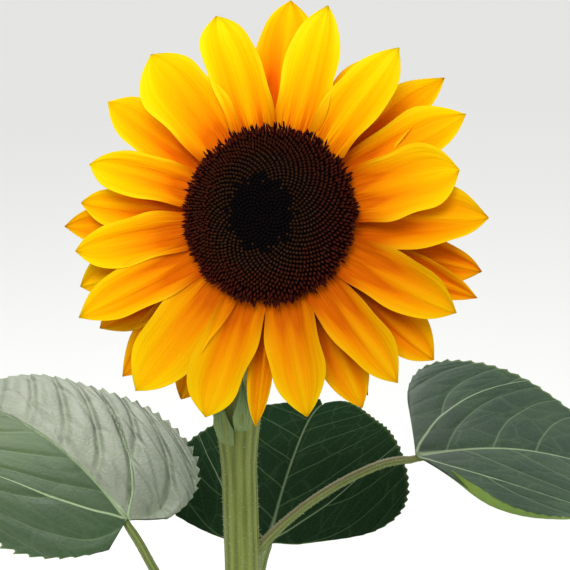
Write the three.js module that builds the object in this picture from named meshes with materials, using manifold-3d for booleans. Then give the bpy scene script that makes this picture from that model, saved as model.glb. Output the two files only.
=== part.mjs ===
// Sunflower plant, rooted: one stem from a flat cut at ground level, a spiral of leaves and one open head.
// Millimetres, +Z up, origin at the middle of the stem's foot. The head faces -Y, turned a little towards -X.
import * as THREE from "three";
import { mergeVertices } from "three/addons/utils/BufferGeometryUtils.js";
import Module from "manifold-3d";

const wasm = await Module();
wasm.setup();

const GAP = 0.3; // clearance between neighbouring pieces

// Head: the middle of the disc's foot, and the way it faces.
const HEAD_PLACE = new THREE.Vector3(25, -53, 900);
const HEAD_TURN = 13; // degrees towards -X
const HEAD_RISE = 25; // degrees above level
const HEAD_ROLL = 5; // degrees anticlockwise, seen from the front
const DISC_RADIUS = 37.5;
const DISC_DOME = 13.6;
const CUP_RADIUS = 36; // receptacle, at its rim
const CUP_DEPTH = 24;
const NECK_RADIUS = 13.5; // where the stem meets the receptacle
const COLLAR_WIDTH = 3.2; // of the ring that each whorl grows from
const COLLAR_THICK = 2.8;
const WHORL_PITCH = COLLAR_THICK + 0.4;
const ROUND = 26; // steps round the head

// Ray florets by whorl, front to back: angle in degrees from the right, reach from the head's axis, width, and
// how far the tip bends to the side, as a share of the ray's length, where it does.
const RAYS = [
  [
    [12, 84, 26], [51, 90, 22], [74, 93, 22], [102, 89, 22, 0.08], [126, 88, 27, 0.02], [162, 84, 18, 0.05],
    [190, 87, 19], [208, 94, 20], [233, 95, 25], [253, 91, 22], [282, 89, 22], [308, 92, 19], [332, 92, 21],
  ],
  [
    [-1.5, 94, 25], [27, 94, 22], [145, 91, 20], [175, 87, 17], [199, 91, 20], [268, 91, 11, -0.04],
    [296, 92, 19], [318.5, 94, 20],
  ],
  [
    [39, 95, 19], [56, 84, 20], [87, 97, 24], [133, 81, 22], [181.5, 95, 18], [211, 92, 19], [225, 97, 19],
    [242, 89, 18], [298, 87, 14], [342, 95, 21],
  ],
];
const RAY_TILT = [14, 8, 2]; // degrees in front of the head's plane, by whorl
const RAY_RECURVE = 0.12; // of its length that a ray's tip falls back
const RAY_CUP = 0.13; // of its width that a ray's margins stand up
const RAY_THICK = 0.9;
const RAY_ROOT = 0.6; // of its width at the root
const RAY_STATIONS = 7;

// Bracts behind the rays, in two rows on one ring.
const BRACTS_PER_ROW = 13;
const BRACT_ROWS = [
  { length: 33, width: 13, tilt: -4, turn: 0 },
  { length: 29, width: 12, tilt: -30, turn: 0.5 },
];
const BRACT_THICK = 1.1;

// Stem: radius up to the neck, and the gentle curve of its axis.
const STEM_RADII = [
  [0, 15], [10, 12.6], [35, 11], [120, 10.4], [400, 9.6], [700, 8.7], [762, 8.7], [778, 10.4], [790, 12.4],
];
const NECK_START = 790;
const STEM_BOW = 12.8;
const STEM_SWAY = 5;
const STEM_WAVES = [1050, 560]; // height of each curve's half wave
const STEM_SIDES = 14;
const STEM_STEP = 44;
const NECK_HANDLES = [46, 40]; // length of the neck curve's two handles
const NECK_STEPS = 7;

// Leaves: one to a node, spiralling down from the highest large one.
const GOLDEN_ANGLE = 137.5;
const TOP_LEAF = { azimuth: 12, height: 704.7 };
const LEAF_COUNT = 13;
const INTERNODE = 74; // under the top leaf, shrinking downwards by INTERNODE_LOSS for each leaf
const INTERNODE_LOSS = 4.1;
const LARGEST_BLADE = 218;
const BLADE_SLIMNESS = 0.74; // width over length
const BLADE_BACK = 0.03; // how far the lobes' outline runs back past the petiole
const BLADE_SIDES = 9; // steps along each margin
const BLADE_RINGS = 3;
const BLADE_THICKNESS = 0.0115; // of its length
const PETIOLE_SIDES = 6;
const PETIOLE_STEPS = 6;
const PETIOLE_GIRTH = [0.5, 0.0105]; // radius: fixed part, and share of the blade's length
const MIDRIB_REACH = 0.16; // of the blade's length that the petiole runs on under it

const GREENS = { stem: 0x7e9450, leaf: 0x3f5a3c, bract: 0x5f7d3a, cup: 0x6f8a45 };
const RAY_YELLOW = 0xf5b100;
const DISC_BROWN = 0x2a120b;
const UP = new THREE.Vector3(0, 0, 1);
const radians = THREE.MathUtils.degToRad;

function toSolid(geometry) {
  const bare = geometry.clone();
  bare.deleteAttribute("normal");
  bare.deleteAttribute("uv");
  const welded = mergeVertices(bare, 1e-4);
  return new wasm.Manifold(
    new wasm.Mesh({
      numProp: 3,
      vertProperties: new Float32Array(welded.attributes.position.array),
      triVerts: new Uint32Array(welded.index.array),
    }),
  );
}

function toGeometry(solid) {
  const mesh = solid.getMesh();
  const geometry = new THREE.BufferGeometry();
  geometry.setAttribute("position", new THREE.BufferAttribute(new Float32Array(mesh.vertProperties), 3));
  geometry.setIndex(new THREE.BufferAttribute(new Uint32Array(mesh.triVerts), 1));
  const faceted = geometry.toNonIndexed();
  faceted.computeVertexNormals();
  return faceted;
}

function fromPoints(points, faces) {
  const geometry = new THREE.BufferGeometry().setFromPoints(points);
  geometry.setIndex(faces);
  return geometry;
}

// A closed skin through rings of equal count, each running anticlockwise about the way the rings follow on.
function loft(rings) {
  const n = rings[0].length;
  const faces = [];
  for (let i = 0; i + 1 < rings.length; i++)
    for (let j = 0; j < n; j++) {
      const [a, b] = [i * n + j, i * n + ((j + 1) % n)];
      faces.push(a, b, b + n, a, b + n, a + n);
    }
  const last = (rings.length - 1) * n;
  for (let j = 0; j < n / 2 - 1; j++) {
    const [p, q, r, s] = [j, j + 1, n - 2 - j, n - 1 - j];
    faces.push(q, p, r, r, p, s);
    faces.push(last + p, last + q, last + r, last + p, last + r, last + s);
  }
  return fromPoints(rings.flat(), faces);
}

// Rings of a round tube along a path, carried without twist. The first ring is square to the start given.
function tubeRings(path, radii, sides, start) {
  let side = new THREE.Vector3(1, 0, 0);
  return path.map((at, i) => {
    const ahead = path[Math.min(i + 1, path.length - 1)];
    const along = i === 0 ? start : ahead.clone().sub(path[i - 1]).normalize();
    side = side.clone().addScaledVector(along, -side.dot(along)).normalize();
    const other = along.clone().cross(side);
    return Array.from({ length: sides }, (_, j) => {
      const turn = ((j + 0.5) / sides) * 2 * Math.PI;
      const [x, y] = [radii[i] * Math.cos(turn), radii[i] * Math.sin(turn)];
      return at.clone().addScaledVector(side, x).addScaledVector(other, y);
    });
  });
}

function interpolate(table, x) {
  const i = table.findIndex(([edge]) => edge >= x);
  if (i <= 0) return table[i === 0 ? 0 : table.length - 1][1];
  const [[x0, y0], [x1, y1]] = [table[i - 1], table[i]];
  return y0 + ((y1 - y0) * (x - x0)) / (x1 - x0);
}

// A lathe shape whose axis is +Z, from [radius, height] pairs.
function turned(profile, steps = ROUND) {
  const outline = profile.map(([r, z]) => new THREE.Vector2(r, z));
  return new THREE.LatheGeometry(outline, steps).rotateX(Math.PI / 2);
}

const facing = new THREE.Vector3(
  -Math.sin(radians(HEAD_TURN)) * Math.cos(radians(HEAD_RISE)),
  -Math.cos(radians(HEAD_TURN)) * Math.cos(radians(HEAD_RISE)),
  Math.sin(radians(HEAD_RISE)),
);

function stemAxis(z) {
  const [x, y] = [STEM_BOW, STEM_SWAY].map((most, i) => most * Math.sin((Math.PI * z) / STEM_WAVES[i]));
  return new THREE.Vector3(x, y, z);
}

function stemPath() {
  const heights = STEM_RADII.map(([z]) => z).concat(
    Array.from({ length: Math.floor(NECK_START / STEM_STEP) }, (_, i) => (i + 1) * STEM_STEP),
  );
  const spaced = heights.sort((a, b) => a - b).filter((z, i, all) => i === 0 || z - all[i - 1] > 9);
  const foot = spaced.filter((z) => z < NECK_START - 9).map(stemAxis);
  const start = stemAxis(NECK_START);
  const end = HEAD_PLACE.clone().addScaledVector(facing, -CUP_DEPTH - GAP);
  const up = start.clone().sub(stemAxis(NECK_START - STEM_STEP)).normalize();
  const neck = new THREE.CubicBezierCurve3(
    start,
    start.clone().addScaledVector(up, NECK_HANDLES[0]),
    end.clone().addScaledVector(facing, -NECK_HANDLES[1]),
    end,
  ).getPoints(NECK_STEPS);
  return { path: foot.concat(neck), neckFrom: foot.length };
}

// The stem's skin, fattened by some clearance where a neighbour is cut back from it.
function stemGeometry(extra = 0) {
  const { path, neckFrom } = stemPath();
  const waist = interpolate(STEM_RADII, NECK_START);
  const radii = path.map((p, i) => {
    const t = (i - neckFrom) / NECK_STEPS;
    return extra + (i < neckFrom ? interpolate(STEM_RADII, p.z) : waist + (NECK_RADIUS - waist) * t);
  });
  const rings = tubeRings(path, radii, STEM_SIDES, UP);
  return loft(withEndSquareTo(rings, path.at(-1), facing));
}

// Sets the last ring square to the way it faces, so that the neck meets the receptacle flat.
function withEndSquareTo(rings, middle, way) {
  const last = rings.at(-1);
  for (const p of last) p.addScaledVector(way, -way.dot(p.clone().sub(middle)));
  return rings;
}

// Half-width of a ray at a share t of its length, as a share of its full half-width.
function rayOutline(t) {
  const swell = RAY_ROOT + (1 - RAY_ROOT) * Math.sin((Math.PI / 2) * Math.min(t / 0.5, 1));
  return t <= 0.5 ? swell : Math.max(1 - ((t - 0.5) / 0.5) ** 2.8, 0.03);
}

// Half-width of a bract: widest at a third of its length, drawn out to a fine tip.
function bractOutline(t) {
  return t < 0.3 ? 0.7 + t : Math.max((1 - (t - 0.3) / 0.7) ** 1.25, 0.04);
}

// A cupped blade that grows outwards from the head's axis, in the head's own frame.
function blade({ angle, root, length, width, height, tilt, recurve, cup, bend, thick, outline, stations }) {
  const out = new THREE.Vector3(Math.cos(radians(angle)), Math.sin(radians(angle)), 0);
  const across = new THREE.Vector3(-out.y, out.x, 0);
  const front = new THREE.Vector3(0, 0, 1);
  return loft(
    Array.from({ length: stations }, (_, i) => {
      const t = i / (stations - 1);
      const half = (width / 2) * outline(t);
      const rise = length * (Math.sin(radians(tilt)) * t - recurve * t * t);
      const top = [1, 0, -1].map((x) => {
        const lift = cup * width * Math.sin(Math.PI * t) * (x * x - 0.3);
        return new THREE.Vector3()
          .addScaledVector(out, root + length * Math.cos(radians(tilt)) * t)
          .addScaledVector(across, half * x + bend * length * t * t)
          .addScaledVector(front, height + rise + lift + thick / 2);
      });
      const under = top.map((p) => p.clone().addScaledVector(front, -thick)).reverse();
      return top.concat(under);
    }),
  );
}

function collar(height) {
  const [inner, outer] = [CUP_RADIUS + GAP, CUP_RADIUS + GAP + COLLAR_WIDTH];
  const [low, high] = [height - COLLAR_THICK / 2, height + COLLAR_THICK / 2];
  return turned([[inner, low], [outer, low], [outer, high], [inner, high], [inner, low]]);
}

// A ring with blades fused on.
function whorl(height, blades) {
  return blades.reduce((sum, shape) => sum.add(toSolid(blade(shape))), toSolid(collar(height)));
}

const rayHeight = (row) => -WHORL_PITCH * (row + 0.5) - 0.2;

function rayWhorl(row) {
  const root = CUP_RADIUS + GAP + COLLAR_WIDTH / 2;
  return toGeometry(
    whorl(
      rayHeight(row),
      RAYS[row].map(([angle, reach, width, bend = 0]) => ({
        angle, width, bend, root,
        length: (reach - root) / Math.cos(radians(RAY_TILT[row])),
        height: rayHeight(row),
        tilt: RAY_TILT[row],
        recurve: RAY_RECURVE,
        cup: RAY_CUP,
        thick: RAY_THICK,
        outline: rayOutline,
        stations: RAY_STATIONS,
      })),
    ),
  );
}

function bractWhorl() {
  const height = rayHeight(RAYS.length);
  const root = CUP_RADIUS + GAP + COLLAR_WIDTH / 2;
  const rows = BRACT_ROWS.flatMap(({ length, width, tilt, turn }) =>
    Array.from({ length: BRACTS_PER_ROW }, (_, i) => ({
      angle: ((i + turn) / BRACTS_PER_ROW) * 360,
      root, length, width, tilt,
      height: height + (tilt < -10 ? -0.6 : 0.6),
      recurve: 0,
      cup: 0.04,
      bend: 0,
      thick: BRACT_THICK,
      outline: bractOutline,
      stations: 4,
    })),
  );
  return toGeometry(whorl(height, rows));
}

function cupGeometry() {
  const depth = -CUP_DEPTH;
  return turned([
    [0, depth], [NECK_RADIUS, depth], [23, depth + 4], [31, depth + 8.5], [35, depth + 12],
    [CUP_RADIUS, depth + 14], [CUP_RADIUS, 0], [0, 0],
  ]);
}

function discGeometry() {
  const [r, h] = [DISC_RADIUS, DISC_DOME];
  return turned([
    [0, GAP], [r * 0.97, GAP], [r, h * 0.2], [r * 0.95, h * 0.46], [r * 0.82, h * 0.74], [r * 0.6, h * 0.93],
    [r * 0.32, h], [r * 0.12, h * 0.97], [0, h * 0.95],
  ]);
}

// A leaf's margin from its tip, q = 0, to the notch at the petiole: along and across, for a blade 1 long.
function leafMargin(q, back) {
  const along = ((1 + back) * (1 + Math.cos(Math.PI * q))) / 2 - back;
  return [along, (BLADE_SLIMNESS / 2) * Math.sin(Math.PI * q ** 1.7) ** 0.9];
}

// The petiole's path from the stem's axis, rising steeply and then levelling out.
function petiolePath({ azimuth, height, petiole, rise }) {
  const out = new THREE.Vector3(Math.cos(radians(azimuth)), Math.sin(radians(azimuth)), 0);
  const points = [stemAxis(height)];
  for (let i = 0; i < PETIOLE_STEPS; i++) {
    const slope = radians(rise[0] + (rise[1] - rise[0]) * ((i + 0.5) / PETIOLE_STEPS));
    const next = points[i].clone().addScaledVector(out, (petiole / PETIOLE_STEPS) * Math.cos(slope));
    next.z += (petiole / PETIOLE_STEPS) * Math.sin(slope);
    points.push(next);
  }
  return points;
}

// Places a point of the flat blade, along its midrib and across to its left, on the arched leaf. Its left and
// right halves each have a fold of their own, in degrees up, and a width relative to the usual one.
function leafPlacer(leaf, foot) {
  const { azimuth, turn = 0, pitch, droop, roll = 0, fold, widths = [1, 1], length } = leaf;
  const way = radians(azimuth + turn);
  const out = new THREE.Vector3(Math.cos(way), Math.sin(way), 0);
  const left = new THREE.Vector3(-Math.sin(way), Math.cos(way), 0);
  const slopeAt = (a) => radians(pitch - droop * Math.max(a / length, 0) ** 1.2);
  return (a, b, down = 0) => {
    const place = foot.clone();
    const steps = 8;
    for (let i = 0; i < steps; i++) {
      const slope = slopeAt((a * (i + 0.5)) / steps);
      place.addScaledVector(out, (a / steps) * Math.cos(slope));
      place.z += (a / steps) * Math.sin(slope);
    }
    const slope = slopeAt(a);
    const up = out.clone().multiplyScalar(-Math.sin(slope));
    up.z += Math.cos(slope);
    const lean = radians(roll);
    const sideways = left.clone().multiplyScalar(Math.cos(lean)).addScaledVector(up, Math.sin(lean));
    const normal = up.clone().multiplyScalar(Math.cos(lean)).addScaledVector(left, -Math.sin(lean));
    const half = b < 0 ? 1 : 0;
    const reach = b * widths[half];
    const lift = Math.tan(radians(fold[half])) * (Math.abs(reach) - (1.1 * reach * reach) / length);
    return place.addScaledVector(sideways, reach).addScaledVector(normal, lift - down);
  };
}

function leafBlade(leaf, place) {
  const { length, thick, back = BLADE_BACK } = leaf;
  const margin = [];
  for (let i = -BLADE_SIDES; i <= BLADE_SIDES; i++) {
    const [along, across] = leafMargin(Math.abs(i / BLADE_SIDES) * 0.95, back);
    margin.push([along * length, -Math.sign(-i) * across * length]);
  }
  const columns = margin.length;
  const points = [place(0, 0), place(0, 0, thick)];
  for (let s = 1; s <= BLADE_RINGS; s++)
    for (const [a, b] of margin) {
      const share = s / BLADE_RINGS;
      points.push(place(a * share, b * share), place(a * share, b * share, thick));
    }
  const top = (i, s) => (s === 0 ? 0 : 2 + 2 * ((s - 1) * columns + i));
  const faces = [];
  const both = (p, q, r) => faces.push(p, q, r, r + 1, q + 1, p + 1);
  for (let i = 0; i + 1 < columns; i++)
    for (let s = 0; s < BLADE_RINGS; s++) {
      both(top(i, s), top(i, s + 1), top(i + 1, s + 1));
      if (s > 0) both(top(i, s), top(i + 1, s + 1), top(i + 1, s));
    }
  const rim = [];
  for (let s = 0; s < BLADE_RINGS; s++) rim.push(top(0, s));
  for (let i = 0; i < columns; i++) rim.push(top(i, BLADE_RINGS));
  for (let s = BLADE_RINGS - 1; s > 0; s--) rim.push(top(columns - 1, s));
  rim.forEach((p, i) => {
    const q = rim[(i + 1) % rim.length];
    faces.push(p, p + 1, q + 1, p, q + 1, q);
  });
  return fromPoints(points, faces);
}

// A leaf: petiole, running on as the midrib under the blade, and the blade.
function leafGeometry(leaf, stemClear) {
  const stalk = petiolePath(leaf);
  const place = leafPlacer(leaf, stalk.at(-1));
  const girth = PETIOLE_GIRTH[0] + leaf.length * PETIOLE_GIRTH[1];
  const path = stalk.slice(0, -1);
  path.push(place(0, 0, girth * 0.8), place(MIDRIB_REACH * leaf.length, 0, leaf.thick * 0.7));
  const radii = path.map((_, i) => girth * (1.25 - (0.25 * i) / PETIOLE_STEPS));
  radii[path.length - 1] = girth * 0.35;
  const tube = loft(tubeRings(path, radii, PETIOLE_SIDES, path[1].clone().sub(path[0]).normalize()));
  return toGeometry(toSolid(leafBlade(leaf, place)).add(toSolid(tube)).subtract(stemClear));
}

// The k-th leaf down from the top one, by the plant's rule.
function spiralLeaf(k) {
  const length = LARGEST_BLADE * (1 - ((k - 5) / 10.5) ** 2);
  const fold = 9 + 3 * Math.sin(k * 3.1);
  return {
    azimuth: TOP_LEAF.azimuth + GOLDEN_ANGLE * k,
    height: TOP_LEAF.height - INTERNODE * k + (INTERNODE_LOSS * k * (k - 1)) / 2,
    petiole: 8 + length * 0.5,
    rise: [56 - 1.5 * k, 26 - 3 * k],
    length,
    pitch: 8 - 3 * k,
    droop: 48 + 9 * Math.sin(k * 2.4),
    roll: 8 * Math.sin(k * 1.7),
    fold: [fold, fold],
  };
}

function leaves() {
  const all = Array.from({ length: LEAF_COUNT }, (_, k) => spiralLeaf(k));
  // The top leaf arches out to the right and tips its face forward.
  Object.assign(all[0], { petiole: 103, rise: [54, 9.5], turn: 10.7, length: 170, back: -0.06 });
  Object.assign(all[0], { pitch: -0.6, droop: 50, roll: 17.6, fold: [-3.3, 6.7], widths: [1.15, 1] });
  // The second rises to the left and bends over.
  Object.assign(all[1], { height: 641.9, petiole: 101, rise: [30, 64.4], turn: -15.6, length: 187 });
  Object.assign(all[1], { back: 0.07, pitch: 29.5, droop: 65, roll: -4, fold: [-2, 3], widths: [1, 0.87] });
  // One more stands behind the stem, and a small one behind the neck.
  const extra = [
    { azimuth: 97, height: 802, petiole: 26, rise: [50, 30], length: 78, pitch: 20, droop: 40, fold: [8, 8] },
    { azimuth: 80, height: 648, petiole: 76, rise: [50, 16], length: 180, pitch: 16, droop: 34, fold: [7, 7] },
  ];
  return extra
    .concat(all)
    .map((leaf) => ({ ...leaf, thick: leaf.length * BLADE_THICKNESS }))
    .sort((a, b) => b.height - a.height);
}

function piece(name, geometry, color, roughness) {
  const mesh = new THREE.Mesh(geometry, new THREE.MeshStandardMaterial({ color, roughness, metalness: 0 }));
  mesh.name = name;
  return mesh;
}

function head() {
  const group = new THREE.Group();
  const level = new THREE.Vector3(Math.cos(radians(HEAD_TURN)), -Math.sin(radians(HEAD_TURN)), 0);
  const right = level.applyAxisAngle(facing, radians(HEAD_ROLL));
  const basis = new THREE.Matrix4().makeBasis(right, facing.clone().cross(right), facing);
  group.position.copy(HEAD_PLACE);
  group.quaternion.setFromRotationMatrix(basis);
  group.add(piece("receptacle", cupGeometry(), GREENS.cup, 0.7));
  group.add(piece("disc", discGeometry(), DISC_BROWN, 0.9));
  ["front", "middle", "back"].forEach((place, row) =>
    group.add(piece("ray_florets_" + place, rayWhorl(row), RAY_YELLOW, 0.55)),
  );
  group.add(piece("bracts", bractWhorl(), GREENS.bract, 0.7));
  return group;
}

const plant = new THREE.Group();
plant.add(piece("stem", stemGeometry(), GREENS.stem, 0.75));
plant.add(head());
const stemClear = toSolid(stemGeometry(GAP));
leaves().forEach((leaf, i) => {
  const name = "leaf_" + String(i + 1).padStart(2, "0");
  plant.add(piece(name, leafGeometry(leaf, stemClear), GREENS.leaf, 0.6));
});

export default plant;
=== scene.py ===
"""A rooted sunflower plant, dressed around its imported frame.

Lengths are millimetres until a piece is made, which turns them into metres. The plant's frame is the
part's own: +Z up, the origin at the middle of the stem's foot, the flower head facing -Y.
"""
import math
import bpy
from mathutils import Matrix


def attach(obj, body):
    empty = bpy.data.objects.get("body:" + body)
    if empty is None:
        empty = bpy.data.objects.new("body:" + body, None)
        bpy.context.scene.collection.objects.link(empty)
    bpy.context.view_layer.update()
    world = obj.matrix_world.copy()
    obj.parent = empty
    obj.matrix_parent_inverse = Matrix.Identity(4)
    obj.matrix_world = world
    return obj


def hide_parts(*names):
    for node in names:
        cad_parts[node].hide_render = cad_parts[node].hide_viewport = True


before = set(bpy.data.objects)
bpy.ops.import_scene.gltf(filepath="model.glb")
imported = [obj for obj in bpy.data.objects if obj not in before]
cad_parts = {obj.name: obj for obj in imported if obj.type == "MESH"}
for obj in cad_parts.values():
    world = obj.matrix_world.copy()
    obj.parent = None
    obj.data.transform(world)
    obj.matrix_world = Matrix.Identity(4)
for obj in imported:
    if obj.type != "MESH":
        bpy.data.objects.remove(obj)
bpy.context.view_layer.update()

from types import SimpleNamespace

import bpy
import numpy as np

MM = 0.001
BODY = "root"
GOLDEN_ANGLE = 137.5

# Head: the middle of the disc's foot, and the way it faces.
HEAD_PLACE = np.array([25.0, -53.0, 900.0])
HEAD_TURN = 13
HEAD_RISE = 25
HEAD_ROLL = 5
DISC_RADIUS = 37.5
DISC_DOME = 13.6
CUP_DEPTH = 24.0
NECK_RADIUS = 13.5
GAP = 0.3  # between the neck and the receptacle's back
WHORL_PITCH = 3.2

# Ray florets by whorl, front to back: angle in degrees, reach from the head's axis, width, sideways bend of
# the tip as a share of the length, and bluntness of the tip.
RAYS = {
    "front": [
        (12, 84, 26, 0, 0.8), (51, 90, 22, 0, 0.1), (74, 93, 22, 0, 0.2), (102, 89, 22, 0.08, 0.9),
        (126, 88, 27, 0.02, 0.6), (162, 84, 18, 0.05, 0.4), (190, 87, 19, 0, 0.4), (208, 94, 20, 0, 0.1),
        (233, 95, 25, 0, 0.3), (253, 91, 22, 0, 0.6), (282, 89, 22, 0, 0.1), (308, 92, 19, 0, 0.2),
        (332, 92, 21, 0, 0.2),
    ],
    "middle": [
        (-1.5, 94, 25, 0, 0.1), (27, 94, 22, 0, 0.3), (145, 91, 20, 0, 0.3), (175, 87, 17, 0, 0.3),
        (199, 91, 20, 0, 0.3), (268, 91, 11, -0.04, 0), (296, 92, 19, 0, 0.2), (318.5, 94, 20, 0, 0.6),
    ],
    "back": [
        (39, 95, 19, 0, 0), (56, 84, 20, 0, 0.6), (87, 97, 24, 0, 0.5), (133, 81, 22, 0, 0.5),
        (181.5, 95, 18, 0, 0.1), (211, 92, 19, 0, 0.2), (225, 97, 19, 0, 0.1), (242, 89, 18, 0, 0.6),
        (298, 87, 14, 0, 0), (338, 95, 15, 0, 0), (345, 93, 19, 0, 0.2),
    ],
}
# By whorl: tilt in degrees, how high a margin may curl, and by how much its colour is moved towards orange,
# as painted shade on the whorls behind.
WHORLS = {"front": (14, 7, 0), "middle": (8, 3.5, 0.1), "back": (2, 2.1, 0.3)}
RAY_RECURVE = 0.12
RAY_SPREAD = 1.1  # a flat ray's width over that of the cupped and folded one
RAY_ROOT = 34.6  # inside the receptacle's rim
# Painted light and shade: yellowest rays towards YELLOW_TURN, orangest towards ORANGE_TURN, brightest at
# BRIGHT_TURN.
YELLOW_TURN, ORANGE_TURN, BRIGHT_TURN = 1.1, -0.35, 1.92  # where on the head rays are so, in radians
# From orange to yellow: stops, and the colours there as they are seen.
RAY_COLOURS = [
    (0.0, (226, 106, 0)), (0.12, (248, 140, 0)), (0.3, (255, 166, 0)),
    (0.52, (255, 187, 0)), (0.75, (255, 206, 0)), (1.0, (255, 224, 12)),
]

# Disc florets from the middle out: the age at which a zone ends, a floret's sides, its profile as (radius,
# height) pairs, its width and height, and how far it leans outwards.
FLORET_COUNT = 1750
BEAD = [(0.4, 0), (0.44, 0.5), (0.2, 0.8), (0, 1.0)]
DISC_ZONES = {
    "bud": (0.39, 6, [(0.5, 0), (0.5, 0.45), (0.3, 0.85), (0, 1.0)], 0.94, 1.3, 0.0),
    "young": (0.64, 5, BEAD, 0.95, 1.7, 0.05),
    "ripe": (0.87, 5, BEAD, 0.95, 1.9, 0.1),
    "open": (math.inf, 5, [(0.3, 0), (0.3, 0.5), (0.42, 0.75), (0.14, 0.86), (0, 1.0)], 1.0, 2.4, 0.15),
}
FLORET_TIP = [(0.13, -0.25), (0.18, 0.0), (0.08, 0.15), (0, 0.22)]
FRINGE_COUNT = 420
FRINGE_FLORET = [(0.3, 0), (0.38, 0.45), (0.22, 0.75), (0, 1.0)]
DISC_COLOURS = {
    "core": (16, 6, 6), "bud": (12, 9, 12), "young": (56, 33, 17), "young_tip": (80, 52, 32),
    "ripe": (68, 28, 15), "ripe_tip": (80, 38, 23), "open": (74, 25, 15), "open_tip": (88, 32, 20),
    "fringe": (62, 18, 14),
}

# Bracts by row: length, width, tilt in degrees, turn as a share of their spacing, height over their ring.
BRACT_COUNT = 13
BRACT_VEINS = 3.5  # on each half
BRACT_ROWS = {"upper": (33, 13, -4, 0.0, 0.6), "lower": (29, 12, -30, 0.5, -0.6)}
# The few that clasp the neck: azimuth, height of the foot, length and width.
NECK_BRACTS = [(-122, 774, 34, 11), (-78, 782, 30, 10), (60, 778, 32, 11)]

# Heights up the stem, and its radius there.
STEM_RADII = np.array([
    [0, 15], [10, 12.6], [35, 11], [120, 10.4], [400, 9.6], [700, 8.7], [762, 8.7], [778, 10.4], [790, 12.4],
])
NECK_START = 790
STEM_BOW, STEM_SWAY = 12.8, 5
STEM_WAVES = 1050, 560
NECK_HANDLES = 46, 40
# How many ribs, and their depth as a share of the radius. The ribbed skin lies a little inside the stem's.
STEM_RIBS, STEM_RIB_DEPTH, STEM_INSET = 12, 0.022, 0.045
PETIOLE_RIBS, PETIOLE_RIB_DEPTH, PETIOLE_CHANNEL = 7, 0.05, 0.16

TOP_AZIMUTH, TOP_HEIGHT = 12, 704.7
LEAF_COUNT = 13
INTERNODE, INTERNODE_LOSS = 74, 4.1
LARGEST_BLADE = 218
BLADE_SLIMNESS = 0.74
BLADE_BACK = 0.03
BLADE_THICKNESS = 0.0115
BLADE_RINGS = 36
TEETH = 34  # on each half
TOOTH = np.array([0.0, 0.55, 1.0, 0.3])  # how far its steps stand out
TOOTH_DEPTH = 0.013  # this and the next two are shares of the blade's length
QUILT_HEIGHT = 0.006  # of the puckers between the veins
KEEL_DEPTH = 0.006  # of the groove over the midrib
FRESH_CALM = 0.65  # the share of its puckers that a fresh half lacks

VEIN_STEP = 0.15  # between side veins along the midrib, as a share of the blade
VEIN_LEAN = 0.7
VEIN_CURVE = 3.0
VEIN_SHIFT = 0.35  # of a step, by which the left side's veins lie ahead of the right side's
LOBE_STEP = 0.14
LOBE_LEAN = 0.8


def unit(vector):
    return vector / np.linalg.norm(vector, axis=-1, keepdims=True)


def clamp(value):
    return np.clip(value, 0, 1)


def coords(*parts):
    """Coordinates side by side in a last axis, each stretched to the shape that they share."""
    return np.stack(np.broadcast_arrays(*parts), -1)


def heading(azimuth):
    """The level direction at an azimuth in degrees from +X towards +Y."""
    turn = math.radians(azimuth)
    return np.array([math.cos(turn), math.sin(turn), 0.0])


Z_AXIS = np.array([0.0, 0.0, 1.0])
RISE, ROLL = math.radians(HEAD_RISE), math.radians(HEAD_ROLL)
LEVEL = heading(-HEAD_TURN)
FACING = math.cos(RISE) * heading(-HEAD_TURN - 90) + math.sin(RISE) * Z_AXIS
HEAD_RIGHT = math.cos(ROLL) * LEVEL + math.sin(ROLL) * np.cross(FACING, LEVEL)
HEAD_WAYS = np.stack([HEAD_RIGHT, np.cross(FACING, HEAD_RIGHT), FACING])


def on_head(local):
    """Points given as right, up and front of the head, in the plant's frame."""
    return HEAD_PLACE + local @ HEAD_WAYS


def turns(count):
    """Even angles once round."""
    return np.arange(count) / count * 2 * np.pi


def spokes(turn):
    """The outward and the sideways direction at angles about z."""
    return coords(np.cos(turn), np.sin(turn), 0), coords(-np.sin(turn), np.cos(turn), 0)


def head_ways(turn):
    """Outwards, sideways and front at an angle on the head, in the plant's frame."""
    return np.stack([*spokes(turn), Z_AXIS]) @ HEAD_WAYS


def stem_axis(z):
    """The stem's axis at height z: each of x and y is one slow sine wave of the height."""
    z = np.asarray(z, float)
    bow, sway = (most * np.sin(np.pi * z / wave) for most, wave in zip((STEM_BOW, STEM_SWAY), STEM_WAVES))
    return coords(bow, sway, z)


def stem_radius(z):
    return np.interp(z, *STEM_RADII.T)


def add(name, data):
    """A new object of the scene."""
    made = bpy.data.objects.new(name, data)
    bpy.context.scene.collection.objects.link(made)
    return made


def piece(name, part, material, nodes, uv=None, marks=None):
    """One object at the origin from a part: points in millimetres, and faces as arrays of corner indices."""
    points, faces = part
    mesh = bpy.data.meshes.new(name)
    mesh.vertices.add(len(points))
    mesh.vertices.foreach_set("co", (points * MM).astype(np.float32).ravel())
    corners = np.hstack([f.ravel() for f in faces]).astype(np.int32)
    sizes = np.hstack([np.full(len(f), f.shape[1]) for f in faces])
    mesh.loops.add(len(corners))
    mesh.loops.foreach_set("vertex_index", corners)
    mesh.polygons.add(len(sizes))
    mesh.polygons.foreach_set("loop_start", np.cumsum([0, *sizes[:-1]]).astype(np.int32))
    mesh.update(calc_edges=True)
    mesh.shade_smooth()
    if uv is not None:
        layer = mesh.uv_layers.new(name="surface")
        layer.data.foreach_set("uv", uv[corners].astype(np.float32).ravel())
    for mark, values in (marks or {}).items():
        held = mesh.attributes.new(mark, "FLOAT", "POINT")
        held.data.foreach_set("value", np.broadcast_to(values, len(points)).astype(np.float32))
    mesh.materials.append(material)
    made = add(name, mesh)
    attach(made, BODY)
    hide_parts(*nodes)


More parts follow.
